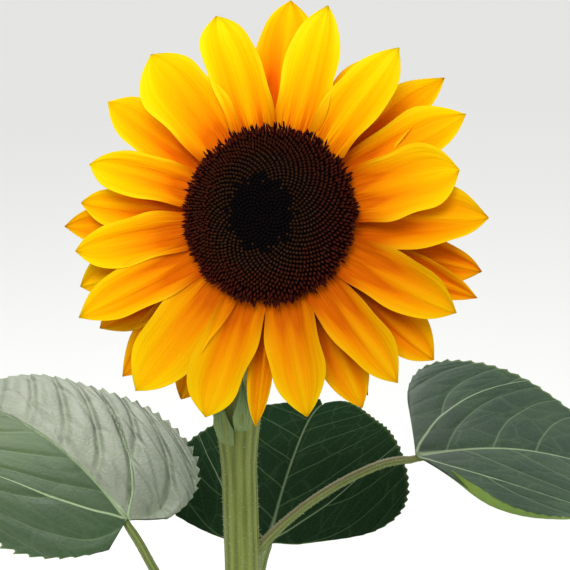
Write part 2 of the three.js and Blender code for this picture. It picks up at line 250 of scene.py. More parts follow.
def join(parts):
    """Parts that have the same kinds of faces as one, and the number of points of each."""
    counts = [len(points) for points, _ in parts]
    starts = np.cumsum([0, *counts[:-1]])
    kinds = zip(*(faces for _, faces in parts))
    faces = [np.vstack([f + start for f, start in zip(kind, starts)]) for kind in kinds]
    return (np.vstack([points for points, _ in parts]), faces), counts


def run_length(path):
    """How far along a path each of its points lies."""
    return np.append(0, np.cumsum(np.linalg.norm(np.diff(path, axis=0), axis=1)))


def lathe(radius, height, turn):
    """Rings about z from columns of radius and height."""
    return coords(radius * np.cos(turn), radius * np.sin(turn), height)


def tube(path, radii, side, turn, relief):
    """Rings round a path: each is its radius, changed by relief, turned about the path's own direction."""
    along = unit(np.gradient(path, axis=0))
    across = unit(side - (along @ side)[:, None] * along)
    flat = lathe(radii[:, None] * (1 + relief), 0, turn)
    return path[:, None] + flat @ np.stack([across, np.cross(along, across), along], 1)


def wrap(turn, along, end=0):
    """Surface coordinates of a skin through rings: round and along it, and then those of its two caps."""
    uv = coords(turn / (2 * np.pi), along[:, None]).reshape(-1, 2)
    return np.vstack([uv, [[0, 0], [0, end]]])


def skin(rings):
    """A closed skin through rings, as rows of points that run anticlockwise about the way they follow on."""
    rows, around = rings.shape[:2]
    i = np.arange(rows - 1)[:, None] * around
    j = np.arange(around)
    k = (j + 1) % around
    quads = coords(i + j, i + k, i + k + around, i + j + around).reshape(-1, 4)
    last, middle = (rows - 1) * around, rows * around
    caps = np.vstack([coords(k, j, middle), coords(last + j, last + k, middle + 1)])
    return np.vstack([rings.reshape(-1, 3), rings[[0, -1]].mean(1)]), [quads, caps]


def spindle(sides, profile):
    """A small pointed shape about z from (radius, height) pairs, the last of which is its tip."""
    body = np.array(profile[:-1])
    points, faces = skin(lathe(body[:, :1], body[:, 1:], turns(sides)))
    points[-1] = 0, 0, profile[-1][1]
    return points, faces


def stand(up, around, width):
    """The three axes of small shapes that point up, for scatter."""
    tangent = unit(np.cross(around, up))
    return np.stack([tangent * width, unit(np.cross(up, tangent)) * width, up], 1)


def scatter(shape, places, axes):
    """Copies of one small shape: its x, y and z go along each copy's three axes, scaled by their lengths."""
    points, faces = shape
    shift = (np.arange(len(places)) * len(points))[:, None, None]
    faces = [(f + shift).reshape(-1, f.shape[1]) for f in faces]
    return (places[:, None] + points @ axes).reshape(-1, 3), faces


class Wire:
    """A number on its way through a material. Arithmetic on wires adds the Math nodes for it."""

    def __init__(self, paint, socket):
        self.paint = paint
        self.socket = socket

    def __add__(self, other):
        return self.paint.math("ADD", self, other)

    def __sub__(self, other):
        return self.paint.math("SUBTRACT", self, other)

    def __rsub__(self, other):
        return self.paint.math("SUBTRACT", other, self)

    def __mul__(self, other):
        return self.paint.math("MULTIPLY", self, other)

    def __truediv__(self, other):
        return self.paint.math("DIVIDE", self, other)

    def __abs__(self):
        return self.paint.math("ABSOLUTE", self)

    __radd__ = __add__
    __rmul__ = __mul__


class Paint:
    """A material under construction."""

    def __init__(self, name):
        self.material = bpy.data.materials.new(name)
        self.material.use_nodes = True
        self.tree = self.material.node_tree

    def fill(self, node, sockets):
        """Values or wires into a node's sockets."""
        for socket, value in sockets.items():
            if isinstance(value, Wire):
                self.tree.links.new(value.socket, node.inputs[socket])
            else:
                node.inputs[socket].default_value = value

    def node(self, kind, settings=None, sockets=None):
        """One node: its settings first, then the values or wires of its sockets."""
        made = self.tree.nodes.new(kind)
        for setting, value in (settings or {}).items():
            if setting == "stops":
                ramp = made.color_ramp
                while len(ramp.elements) < len(value):
                    ramp.elements.new(0.5)
                for element, (position, colour) in zip(ramp.elements, value):
                    element.position = position
                    element.color = (*colour, 1)
            else:
                setattr(made, setting, value)
        self.fill(made, sockets or {})
        return made

    def out(self, made, socket=0):
        return Wire(self, made.outputs[socket])

    def math(self, operation, *values):
        return self.out(self.node("ShaderNodeMath", {"operation": operation}, dict(enumerate(values))))

    def most(self, a, b):
        return self.math("MAXIMUM", a, b)

    def between(self, value, low, high):
        """0 below low, 1 above high, and a smooth step between; a low above high turns it round."""
        sockets = {"Value": value, "From Min": low, "From Max": high}
        return self.out(self.node("ShaderNodeMapRange", {"interpolation_type": "SMOOTHSTEP"}, sockets))

    def mark(self, name):
        return self.out(self.node("ShaderNodeAttribute", {"attribute_name": name}), "Fac")

    def surface(self):
        """The piece's own surface coordinates, as two wires."""
        both = self.out(self.node("ShaderNodeUVMap", {"uv_map": "surface"}))
        split = self.node("ShaderNodeSeparateXYZ", None, {0: both})
        return self.out(split, 0), self.out(split, 1)

    def vector(self, x, y, z):
        return self.out(self.node("ShaderNodeCombineXYZ", None, {0: x, 1: y, 2: z}))

    def place(self):
        return self.out(self.node("ShaderNodeTexCoord"), "Object")

    def noise(self, vector, scale, detail):
        sockets = {"Vector": vector, "Scale": scale, "Detail": detail}
        return self.out(self.node("ShaderNodeTexNoise", None, sockets))

    def cells(self, vector, scale, feature="DISTANCE_TO_EDGE"):
        sockets = {"Vector": vector, "Scale": scale}
        return self.out(self.node("ShaderNodeTexVoronoi", {"feature": feature}, sockets))

    def ramp(self, value, stops):
        return self.out(self.node("ShaderNodeValToRGB", {"stops": stops}, {0: value}))

    def mix(self, share, first, second):
        """Two colours mixed. A plain colour is given as three numbers."""
        full = [c if isinstance(c, Wire) else (*c, 1) for c in (first, second)]
        sockets = {0: share, 6: full[0], 7: full[1]}
        return self.out(self.node("ShaderNodeMix", {"data_type": "RGBA"}, sockets), 2)

    def finish(self, colour, roughness, bumps=(), gloss=0.5):
        """Colour, roughness, gloss and a chain of (height, depth in millimetres) bumps into the shader."""
        normal = {}
        for height, depth in bumps:
            sockets = {"Height": height, "Strength": 1.0, "Distance": depth * MM, **normal}
            normal = {"Normal": self.out(self.node("ShaderNodeBump", None, sockets))}
        sockets = {"Base Color": colour, "Roughness": roughness, "Specular IOR Level": gloss, **normal}
        self.fill(self.tree.nodes["Principled BSDF"], sockets)
        return self.material


def srgb(red, green, blue):
    """A colour as it is seen, 0 to 255, as the linear values that a shader takes."""
    seen = np.array([red, green, blue]) / 255
    return tuple(np.where(seen <= 0.04045, seen / 12.92, ((seen + 0.055) / 1.055) ** 2.4))


def ray_paint():
    """Golden ray: orange at its root and yellow towards its tip, with painted light and shade.

    Its place from orange to yellow grows with its length, varies by streaks and from ray to ray, is moved by
    the ray's painted light tint, and is held back by painted shade on the lower head and in the grooves. Its
    margins get a painted highlight, and painted red-orange shade lies in folds and along its sides by the
    root.
    """
    p = Paint("ray_floret")
    across, along = p.surface()
    seed, shade = p.mark("seed"), p.mark("shade")
    streaks = p.noise(p.vector(across * 2.4, along * 0.8, seed * 40), 1.8, 2)
    fine = p.noise(p.vector(across * 11, along * 1.3, seed * 31), 1.6, 2)
    varied = (streaks - 0.5) * 0.24 + (seed - 0.5) * 0.14
    # The light tint moves the colour; the grooves hold it back towards orange as painted shade.
    place = along * (1.0 - shade * 0.2) + varied + p.mark("gold") - p.mark("valley") * 0.24
    colour = p.ramp(place, [(share, srgb(*seen)) for share, seen in RAY_COLOURS])
    # Painted highlight: the margins are mixed towards bright yellow, less on the shaded lower head.
    margin = p.between(abs(across), 0.74, 0.96) * p.between(along, 0.08, 0.4)
    colour = p.mix(margin * (0.6 - shade * 0.4), colour, srgb(255, 226, 20))
    colour = p.mix(p.between(fine, 0.42, 0.62) * 0.12, colour, srgb(236, 136, 0))
    # Painted shade: red-orange in folds and along the sides near the root, where rays meet the disc and each
    # other.
    crease_shade = p.between(fine, 0.46, 0.62) * p.between(along, 0.34, 0.04)
    flank_shade = p.between(abs(across), 0.5, 0.95) * p.between(along, 0.42, 0.1)
    colour = p.mix(p.most(crease_shade * 0.7, flank_shade * 0.5), colour, srgb(192, 60, 0))
    colour = p.mix(shade * 0.32, colour, (0, 0, 0))
    return p.finish(colour, 0.6, [(fine, 0.25), (streaks, 0.8)], gloss=0.02)


def plain_paint(name, colour, roughness, dark=0.6):
    """One colour, broken by a fine grain of a darker tone."""
    p = Paint(name)
    tone = p.noise(p.place(), 600.0, 2)
    darker = tuple(c * dark for c in colour)
    return p.finish(p.mix(p.between(tone, 0.35, 0.65), darker, colour), roughness, [(tone, 0.1)], gloss=0.05)


def vein_reach(a, b):
    """How far up the midrib the side vein through (a, b) starts: it leans out and curves towards the tip."""
    bow = b * b * VEIN_CURVE
    return (a - abs(b) * VEIN_LEAN - bow) / (1 - bow)


def leaf_paint(name, gloss):
    """Leaf: dark matt green, paler along midrib and side veins, netted between, and pale under.

    The surface coordinates are the flat blade's own: along the midrib and across it, for a blade 1 long.
    Side veins are where vein_reach is a whole number of steps. Rungs between them are cells drawn out across
    each step. Behind the petiole, where it is below 0, the lobes have veins of their own. Light and shade
    are
    painted on the top by two marks: bloom, a painted pale sheen, and dusk, painted shade that darkens it.
    The mark fresh turns the top yellower, and hem brightens a rolled margin: partly its paler underside,
    partly painted light.
    """
    p = Paint(name)
    along, signed = p.surface()
    side = abs(signed)
    seed, under, rim = p.mark("seed"), p.mark("under"), p.mark("rim")
    wander = (p.noise(p.vector(along, signed, seed * 9), 5, 2) - 0.5) * 0.03
    reach = vein_reach(along, signed) + wander
    left = p.between(signed, -0.001, 0.001)
    steps = reach / VEIN_STEP + left * VEIN_SHIFT
    ahead = p.between(reach, -0.012, 0.012)
    behind = 1.0 - ahead
    from_vein = p.math("PINGPONG", steps, 0.5) * VEIN_STEP
    from_lobe_vein = p.math("PINGPONG", (side + reach * LOBE_LEAN) / LOBE_STEP, 0.5) * LOBE_STEP

    fading = 1.0 - p.between(side, 0.1, 0.4) * 0.6
    side_veins = p.between(from_vein, 0.006 * fading, 0.0006) * ahead
    lobe_veins = p.between(from_lobe_vein, 0.0045, 0.0006) * behind * p.between(side, 0.03, 0.06)
    main_pair = p.between(abs(reach), 0.008 * fading, 0.001)
    crown = p.between(along, 0.14, 0.0)
    midrib = p.between(side, 0.0065 - 0.0045 * along + crown * 0.007, 0.001)
    strong = p.most(midrib, main_pair)
    weak = p.most(side_veins, lobe_veins)
    rungs = p.cells(p.vector(steps * 1.1, side * 13 + wander * 30, seed * 9 + left * 3), 1.0)
    net = p.cells(p.vector(along, signed + wander, seed), 62)
    rung_lines = p.between(rungs, 0.06, 0.0)
    net_lines = p.between(net, 0.16, 0.0)

    mottle = p.noise(p.vector(along, signed, seed * 5), 7, 4)
    blotches = p.between(mottle, 0.3, 0.7)
    top = p.mix(blotches, srgb(44, 68, 46), srgb(60, 86, 58))
    # Painted sheen: a pale grey-green reflection laid over one half of the top.
    bloom = p.mark("bloom") * (0.7 + mottle * 0.6) * (0.72 + p.between(along, -0.05, 0.35) * 0.28)
    top = p.mix(bloom, top, srgb(158, 163, 145))
    fresh = p.mark("fresh")
    young = p.mix(p.between(along, 0.05, 0.55), srgb(48, 72, 34), srgb(88, 110, 50))
    top = p.mix(fresh * (0.35 + mottle * 0.4), top, young)
    # Painted shade: the top is darkened towards deep green, and its veins and net grow fainter.
    dusk = p.mark("dusk")
    top = p.mix(dusk, top, srgb(20, 38, 20))
    clear = 1.0 - dusk * dusk * 0.75
    calm = clear * (1.0 - fresh * 0.45)
    top = p.mix((rung_lines * 0.14 + net_lines * 0.08) * calm, top, srgb(104, 130, 92))
    top = p.mix(weak * calm * 0.42, top, srgb(126, 150, 106))
    top = p.mix(strong * clear * 0.8, top, srgb(164, 186, 140))
    top = p.mix(p.between(rim, 0.97, 1.0) * clear * 0.4, top, srgb(140, 162, 88))
    below = p.mix(blotches, srgb(106, 130, 88), srgb(124, 146, 102))
    below = p.mix(p.most(rung_lines * 0.35, p.most(weak, strong)), below, srgb(160, 178, 128))

    # Painted light on a rolled margin: a bright band on the top's rim, and an underside brighter than its
    # own pale green.
    hem = p.mark("hem")
    lit_underside = p.mix(mottle, srgb(98, 128, 50), srgb(144, 172, 84))
    rim_band = p.between(rim + p.between(side, 0.3, 0.1) * 0.3, 0.93, 0.96) * p.between(side, 0.03, 0.1)
    top = p.mix(hem * rim_band, top, srgb(128, 156, 62))
    below = p.mix(hem * p.between(rim, 0.45, 0.85), below, lit_underside)

    soft = 0.2  # share of a step over which the surface between two veins swells
    swell = p.between(from_vein, 0.0, VEIN_STEP * soft) * ahead
    swell = swell + p.between(from_lobe_vein, 0.0, LOBE_STEP * soft) * behind
    sign = 1.0 - under * 2.0
    height = (swell * 0.6 + p.between(rungs, 0.0, 0.25) * 0.4 + p.between(net, 0.0, 0.3) * 0.06) * sign
    height = (height - strong * sign * 0.3) * p.mark("quilt")
    rough = 0.5 + mottle * 0.16 + under * 0.2
    grain = p.noise(p.place(), 700, 2)
    return p.finish(p.mix(under, top, below), rough, [(height, 1.0), (grain, 0.07)], gloss)


def stalk_paint(name, groove, ridge, blush=None):
    """Green stalk: pale ridges and darker grooves, lengthwise streaks and small pale bristle feet."""
    p = Paint(name)
    turn, along = p.surface()
    rib = p.mark("rib")
    streaks = p.noise(p.vector(turn * 42, along * 2.4, 0.0), 1.0, 3)
    patches = p.noise(p.vector(turn * 3, along * 5, 3.0), 1.0, 2)
    colour = p.mix(p.between(rib + (streaks - 0.5) * 1.2, -0.1, 1.1), groove, ridge)
    colour = p.mix(p.between(patches, 0.45, 0.7) * 0.35, colour, tuple(c * 0.8 for c in ridge))
    if blush is not None:
        colour = p.mix(p.between(p.mark("upper"), 0.55, 1.0) * 0.6, colour, blush)
    specks = p.between(p.cells(p.vector(turn * 30, along * 26, 0.0), 1.0, "F1"), 0.2, 0.1)
    colour = p.mix(specks * 0.3, colour, srgb(206, 214, 170))
    return p.finish(colour, 0.6, [(streaks, 0.35), (specks, 0.2)], gloss=0.3)


def bract_paint():
    """Bract: mid green with paler lengthwise veins, paler towards its root."""
    p = Paint("bract")
    across, along = p.surface()
    seed = p.mark("seed")
    streaks = p.noise(p.vector(across * 7, along * 1.5, seed * 23), 1.6, 3)
    veins = p.math("SINE", across * (2 * math.pi * BRACT_VEINS) + (streaks - 0.5) * 2) * 0.5 + 0.5
    colour = p.mix(p.between(along, 0.0, 0.8), srgb(132, 152, 88), srgb(84, 112, 56))
    colour = p.mix(veins * 0.3, colour, srgb(150, 168, 108))
    colour = p.mix(p.between(streaks, 0.4, 0.7) * 0.35, colour, srgb(60, 88, 42))
    return p.finish(colour, 0.6, [(veins, 0.2), (streaks, 0.3)])


def blade(
    place, ways, rows, columns, root, height, length, width, thick, outline, tilt, recurve, cup, grooves,
    soft, ripple, waves, phase, curl, twist, bend, lop,
):
    """A thin cupped blade that grows outwards, its surface coordinates and how deep in a groove it is.

    The ways are its outward, sideways and front directions. At share t of its length and x across it from -1
    to 1, a point lies at root + length * cos(tilt) * t outwards, and sideways at half-width(t) * (x + lop *
    x^2 * sin(2 pi t)) + bend * length * t^2, with a small x^3 waver. Its height is length * (sin(tilt) * t -
    recurve * t^2) + cup * width * sin(pi t) * (x^2 - 0.3), less a few soft grooves, plus a ripple along the
    margins, one margin's upward curl and the twist. The back lies one thickness behind, closing at x = 1.
    """
    t = np.linspace(0, 1, rows)[:, None] ** 0.9
    x = np.hstack([1, np.linspace(0.985, -0.985, columns - 2), -1])
    half = width / 2 * outline(t)
    tilt, twisted = math.radians(tilt), twist * t
    grooved = sum(depth * np.exp(-(((x - at) / soft) ** 2)) for at, depth in grooves)
    rise = height + length * (math.sin(tilt) * t - recurve * t * t)
    rise = rise + cup * width * np.sin(np.pi * t) * (x * x - 0.3)
    rise = rise - grooved * np.sin(np.pi * clamp(t * 0.96 + 0.03)) ** 0.6
    rise = rise + ripple * np.abs(x) ** 3 * np.sin(t * waves * 2 * np.pi + phase + x)
    rise = rise + abs(curl) * clamp(x * np.sign(curl) - 0.45) ** 2 * np.sin(np.pi * t) ** 0.5
    rise = rise + half * x * np.sin(twisted)
    uneven = x + lop * x * x * np.sin(2 * np.pi * t) + 0.03 * x**3 * np.sin(t * 15 + phase + x)
    sideways = half * uneven * np.cos(twisted) + bend * length * t * t
    outward = root + length * math.cos(tilt) * t
    half_thick = thick * np.sqrt(clamp(1 - x**4)) * (1 - 0.5 * t) / 2
    top, under = (coords(outward, sideways, rise + lift) @ ways for lift in (half_thick, -half_thick))
    drawn = coords(x, t, clamp(grooved / 1.2))
    rings = np.hstack([top, under[:, -2:0:-1]])
    drawn = np.hstack([drawn, drawn[:, -2:0:-1]]).reshape(-1, 3)
    drawn = np.vstack([drawn, [[0, 0, 0], [0, 1, 0]]])
    return skin(rings + place), drawn[:, :2], drawn[:, 2]


def whorl_height(row):
    """Where a row of rays or bracts is rooted over the disc's foot: below it, so less than 0."""
    return -WHORL_PITCH * (row + 0.5) - 0.2


def ray_outline(blunt):
    """A ray's half-width along it: it swells on a sine from its root, then rounds off to its tip."""
    def outline(t):
        swell = 0.78 + 0.22 * np.sin(np.pi / 2 * clamp(t / 0.5))
        close = 1 - clamp((t - 0.5) / 0.5) ** (2.5 + 2.2 * blunt)
        return np.where(t <= 0.5, swell, np.maximum(close, 0.02))
    return outline


def make_rays(material):
    """Each ray floret as a piece of its own.

    By its angle on the head, painted light and shade make it yellower, more orange or darker.
    """
    rng = np.random.default_rng(11)
    number = 0
    for row, (whorl, rays) in enumerate(RAYS.items()):
        lean, most_curl, shade_tint = WHORLS[whorl]
        for angle, reach, width, bend, blunt in rays:
            number += 1
            turn = math.radians(angle)
            tilt = lean + rng.uniform(-2, 2)
            spread = rng.uniform(0.25, 0.4)
            part, uv, valley = blade(
                HEAD_PLACE, head_ways(turn), rows=44, columns=23, root=RAY_ROOT, height=whorl_height(row),
                length=(reach - RAY_ROOT) / math.cos(math.radians(tilt)), width=width * RAY_SPREAD,
                thick=0.35, outline=ray_outline(blunt), tilt=tilt, bend=bend,
                recurve=RAY_RECURVE + rng.uniform(-0.04, 0.04), cup=rng.uniform(0.08, 0.17), soft=0.24,
                grooves=[
                    (-spread, rng.uniform(1.0, 2.3)),
                    (spread + rng.uniform(-0.1, 0.1), rng.uniform(1.0, 2.3)),
                ],
                ripple=rng.uniform(0.2, 0.9), waves=rng.uniform(1.0, 2.0), phase=rng.uniform(0, 6),
                curl=rng.choice([-1, 1]) * rng.uniform(0, most_curl), twist=rng.uniform(-0.22, 0.22),
                lop=rng.uniform(-0.14, 0.14),
            )
            # Painted light and shade: yellower where lit at the upper right, more orange at the right and
            # behind, darker below.
            gold = 0.2 * max(math.cos(turn - YELLOW_TURN), 0) - shade_tint
            gold = gold - 0.15 * max(math.cos(turn - ORANGE_TURN), 0) ** 2
            shade = (0.5 - 0.5 * math.cos(turn - BRIGHT_TURN)) ** 1.1
            marks = {"seed": rng.random(), "gold": gold, "shade": shade, "valley": valley}
            piece(f"ray_{number:02d}", part, material, [f"ray_florets_{whorl}"], uv, marks)


def dome_height(share):
    """The disc's height over its foot at a share of its radius: a flat-topped dome with a shallow dimple."""
    dome = DISC_DOME * 0.96 * (1 - clamp(share) ** 3.2) ** 0.7
    return dome - 0.9 * np.exp(-((share / 0.22) ** 2)) + 0.3


def make_disc():
    """The disc: a dark dome set with florets along Fermat's spiral, radius = R * sqrt(n / count).

    A floret's age is its distance from a point near the middle, blurred, and towards the rim its own share.
    """
    rng = np.random.default_rng(5)
    paints = {}
    for key, seen in DISC_COLOURS.items():
        paints[key] = plain_paint(f"disc_{key}", srgb(*seen), 1.0 if key in ("core", "bud") else 0.9)

    def disc_piece(name, part, paint):
        piece(f"disc_{name}", (on_head(part[0]), part[1]), paints[paint], ["disc"])

    share = np.hstack([np.linspace(0.001, 0.9, 26), np.linspace(0.92, 1, 7)])[::-1, None]
    disc_piece("core", skin(lathe(DISC_RADIUS * 0.97 * share, dome_height(share) - 0.6, turns(96))), "core")

    n = np.arange(FLORET_COUNT) + 0.5
    share = np.sqrt(n / FLORET_COUNT)
    out, around = spokes(np.radians(GOLDEN_ANGLE * n + 0.08 * rng.normal(size=FLORET_COUNT) / share))
    step = 1e-3
    slope = (dome_height(share + step) - dome_height(share - step)) / (2 * step * DISC_RADIUS)
    normal = unit(Z_AXIS - np.clip(slope, -2.2, 0.5)[:, None] * out)
    places = DISC_RADIUS * 0.985 * share[:, None] * out + dome_height(share)[:, None] * Z_AXIS - 0.5 * normal
    pitch = DISC_RADIUS / math.sqrt(FLORET_COUNT) * 1.75
    age = np.hypot((places[:, 0] + 2) * 1.08, (places[:, 1] + 1.6) * 0.84) / DISC_RADIUS
    age = age + 0.065 * rng.normal(size=FLORET_COUNT)
    age = age + (share - age) * share
    youngest = -math.inf
    for zone, (oldest, sides, profile, width, height, lean) in DISC_ZONES.items():
        here = (age >= youngest) & (age < oldest)
        youngest = oldest
        own = np.count_nonzero(here)
        grow = 1 + 0.15 * rng.normal(size=(own, 1))
        wobble = 0.1 * rng.normal(size=(own, 3))
        up = unit(normal[here] + lean * out[here] + wobble) * height * grow
        axes = stand(up, around[here], pitch * width)
        disc_piece(f"florets_{zone}", scatter(spindle(sides, profile), places[here], axes), zone)
        if zone != "bud":
            clear = np.clip((age[here] - 0.33) / 0.3, 0.3, 1)[:, None, None]
            tips = scatter(spindle(4, FLORET_TIP), places[here] + up, axes * clear)
            disc_piece(f"tips_{zone}", tips, zone + "_tip")

    # The fringe stands round the rim in clumps and leans outwards.
    each = FRINGE_COUNT, 1
    turn = turns(FRINGE_COUNT) + 0.4 * rng.normal(size=FRINGE_COUNT) / 52
    clump = (0.5 + 0.25 * np.sin(13 * turn + 1.0) + 0.25 * np.sin(29 * turn + 2 * np.sin(3 * turn)))[:, None]
    out, around = spokes(turn)
    lean = rng.uniform(0.5, 1.2, each) + 0.9 * clump
    height = rng.uniform(1.4, 3.4, each) + 1.8 * clump
    up = unit(Z_AXIS + lean * out + 0.3 * rng.normal(size=each) * around) * height
    reach = rng.uniform(34.8, 37.2, each) * (1 - 0.015 * np.cos(2 * turn[:, None]))
    places = out * reach + [0.5, 0, 0] + Z_AXIS * rng.uniform(0.4, 3.4, each)
    disc_piece("fringe", scatter(spindle(4, FRINGE_FLORET), places, stand(up, around, 1.3)), "fringe")


def bract_outline(t):
    """A bract's half-width along it: widest at 0.3 of its length, then narrowing to a point."""
    return np.where(t < 0.3, 0.7 + t, np.maximum(clamp(1 - (t - 0.3) / 0.7) ** 1.25, 0.03))


def bract_piece(name, blades, seeds, material):
    """A row of bracts as one piece, with a seed for each."""
    parts, uvs, _ = zip(*blades)
    part, counts = join(parts)
    marks = {"seed": np.repeat(seeds, counts)}
    piece(f"bracts_{name}", part, material, ["bracts"], np.vstack(uvs), marks)


def make_bracts(material):
    """Two rows of bracts round the receptacle's rim, and a few that clasp the neck."""
    rng = np.random.default_rng(23)
    for name, (length, width, tilt, turned, shift) in BRACT_ROWS.items():
        blades, seeds = [], []
        for i in range(BRACT_COUNT):
            shape = dict(
                rows=24, columns=11, root=RAY_ROOT - 1.5, height=whorl_height(len(RAYS)) + shift,
                length=length, width=width, thick=0.9, outline=bract_outline, tilt=tilt + rng.uniform(-5, 5),
                recurve=rng.uniform(-0.06, 0.1), cup=0.08, grooves=[(0, 0.35), (-0.5, 0.15), (0.5, 0.15)],
                soft=0.16, ripple=rng.uniform(0.1, 0.5), waves=1.4, phase=rng.uniform(0, 6), curl=0,
                twist=rng.uniform(-0.2, 0.2), bend=rng.uniform(-0.06, 0.06), lop=0,
            )
            ways = head_ways((i + turned) / BRACT_COUNT * 2 * np.pi)
            blades.append(blade(HEAD_PLACE, ways, **shape))
            seeds.append(rng.random())
        bract_piece(name, blades, seeds, material)

    # Those on the neck share the last one's ripple and twist.
    blades, seeds = [], []
    for azimuth, foot, length, width in NECK_BRACTS:
        shape.update(root=0, height=stem_radius(foot) - 0.6, length=length, width=width)
        shape.update(tilt=9, recurve=-0.1, cup=0.2, bend=0.03)
        ways = np.stack([Z_AXIS, heading(azimuth - 90), heading(azimuth)])
        blades.append(blade(stem_axis(foot), ways, **shape))
        seeds.append(rng.random())
    bract_piece("neck", blades, seeds, material)


def make_cup(material):
    """The receptacle's green back: a profile turned about the head's axis, with a rib behind each bract."""
    profile = np.array([
        [0.2, -CUP_DEPTH], [NECK_RADIUS - 0.3, -CUP_DEPTH], [19, -21.6], [26, -17.9], [31.5, -14.9],
        [34.8, -11.9], [35.9, -9.5], [35.9, -0.1], [0.2, -0.1],
    ])
    row = np.linspace(0, 1, 60)
    reach = run_length(profile)
    radius, height = (np.interp(row * reach[-1], reach, column)[:, None] for column in profile.T)
    turn = turns(BRACT_COUNT * 10)
    rib = np.cos(BRACT_COUNT * turn) * np.interp(radius, [12, 24, 34, 36], [0, 0.5, 0.25, 0])
    rings = lathe(radius + rib * (height < -9.6), height, turn)
    marks = {"rib": np.append(0.5 + rib, [0.5, 0.5])}
    uv = wrap(turn * 4, row, end=1)
    piece("receptacle_back", skin(on_head(rings)), material, ["receptacle"], uv, marks)


def stem_path():
    """The stem's axis from its foot, and then the neck: a cubic curve that turns into the head's own way."""
    foot = stem_axis(np.hstack([[0, 2, 5, 9, 14, 20, 28], np.linspace(36, NECK_START, 92)]))
    start, before = foot[-1], stem_axis(NECK_START - 44)
    end = HEAD_PLACE - FACING * (CUP_DEPTH + GAP)
    first = start + unit(start - before) * NECK_HANDLES[0]
    second = end - FACING * NECK_HANDLES[1]
    t = np.linspace(0, 1, 30)[1:, None]
    neck = (1 - t) ** 3 * start + 3 * (1 - t) ** 2 * t * first + 3 * (1 - t) * t * t * second + t**3 * end
    waist = stem_radius(NECK_START)
    radii = np.append(stem_radius(foot[:, 2]), waist + (NECK_RADIUS - waist) * t)
    return np.vstack([foot, neck]), radii


def ribs(turn, along, count, deep):
    """Lengthwise ribs: a row of rounded ridges that wander slowly and differ in height."""
    wave = np.cos(count * turn + 0.6 * np.sin(along * 0.021) + 0.5 * np.sin(along * 0.009 + turn * 2))
    wave = wave * (0.75 + 0.25 * np.sin(turn * 3 + along * 0.004))
    return wave, deep * wave


def bristles(rings, count, length, seed):
    """Fine pointed hairs that stand out of a tube's skin at random places, leaning a little along it."""
    rng = np.random.default_rng(seed)
    rows, around = rings.shape[:2]
    i = rng.uniform(1, rows - 2, count)
    j = rng.integers(0, around, count)
    low = i.astype(int)
    part = (i - low)[:, None]
    at = rings[low, j] * (1 - part) + rings[low + 1, j] * part
    middle, next_middle = rings.mean(1)[low], rings.mean(1)[low + 1]
    along = unit(next_middle - middle)
    out = unit(at - middle * (1 - part) - next_middle * part)
    way = unit(out + 0.35 * along + 0.3 * rng.normal(size=(count, 3)))
    side = unit(np.cross(way, along))
    tall = length * rng.uniform(0.5, 1.2, count)[:, None]
    axes = np.stack([side * 0.16, np.cross(way, side) * 0.16, way * tall], 1)
    return scatter(spindle(3, [(0.6, 0), (0.3, 0.6), (0, 1)]), at - 0.1 * out, axes)


def make_stem(material, hair):
    """The ribbed stem with its neck, cut level at the foot and square to the head, and its bristles."""
    path, radii = stem_path()
    turn, length = turns(STEM_RIBS * 11), run_length(path)
    wave, relief = ribs(turn, length[:, None], STEM_RIBS, STEM_RIB_DEPTH)
    relief = (relief - STEM_INSET) * np.interp(length, [0, 30, 860, 900], [0, 1, 1, 0.3])[:, None]
    rings = tube(path, radii, heading(0), turn, relief)
    rings[0, :, 2] = 0
    rings[-1] -= ((rings[-1] - path[-1]) @ FACING)[:, None] * FACING
    marks = {"rib": np.append(wave * 0.5 + 0.5, [0.5, 0.5])}
    piece("stem_ribbed", skin(rings), material, ["stem"], wrap(turn, length / 60), marks)
    hairs = bristles(rings[6:], count=5200, length=1.5, seed=3)
    piece("stem_bristles", hairs, hair, ["stem"])


def leaf_margin(back):
    """The margin of a blade 1 long, from tip to notch, as (along, across) at even steps of length.

    along = (1 + back) * (1 + cos(pi q)) / 2 - back, across = slimness / 2 * sin(pi q^1.7)^0.9.
    """
    q = np.linspace(0, 0.95, 800)
    along = (1 + back) * (1 + np.cos(np.pi * q)) / 2 - back
    across = BLADE_SLIMNESS / 2 * np.sin(np.pi * q**1.7) ** 0.9
    return along, across


def leaf_place(leaf, foot):
    """Places the flat blade's points on the arched leaf.

    The midrib's slope falls from pitch by droop * (a / length)^1.2, and its points are the sum of its steps.
    A point b to the left of it moves along the blade's own sideways direction, and is lifted by
    tan(fold) * (|b| - 1.1 b^2 / length) along its normal. Each half has its own fold and relative width.
    """
    length = leaf.length
    table = np.linspace(-0.3 * length, 1.02 * length, 400)
    slopes = np.radians(leaf.pitch - leaf.droop * np.clip(table / length, 0, None) ** 1.2)
    step = table[1] - table[0]
    forward = np.cumsum(np.cos(slopes)) * step
    upward = np.cumsum(np.sin(slopes)) * step
    forward -= np.interp(0, table, forward)
    upward -= np.interp(0, table, upward)
    out = heading(leaf.azimuth + leaf.turn)
    left = np.cross(Z_AXIS, out)
    lean = math.radians(leaf.roll)
    left_sag, right_sag = (math.tan(math.radians(fold)) for fold in leaf.fold)
    left_width, right_width = leaf.widths

    def place(a, b, lift=0.0):
        slope = np.interp(a, table, slopes)[..., None]
        up = -np.sin(slope) * out + np.cos(slope) * Z_AXIS
        sideways = math.cos(lean) * left + math.sin(lean) * up
        normal = math.cos(lean) * up - math.sin(lean) * left
        b = b * np.where(b < 0, right_width, left_width)
        raised = np.where(b < 0, right_sag, left_sag) * (np.abs(b) - 1.1 * b * b / length) + lift
        middle = foot + np.interp(a, table, forward)[..., None] * out
        middle = middle + np.interp(a, table, upward)[..., None] * Z_AXIS
        return middle + b[..., None] * sideways + raised[..., None] * normal
    return place


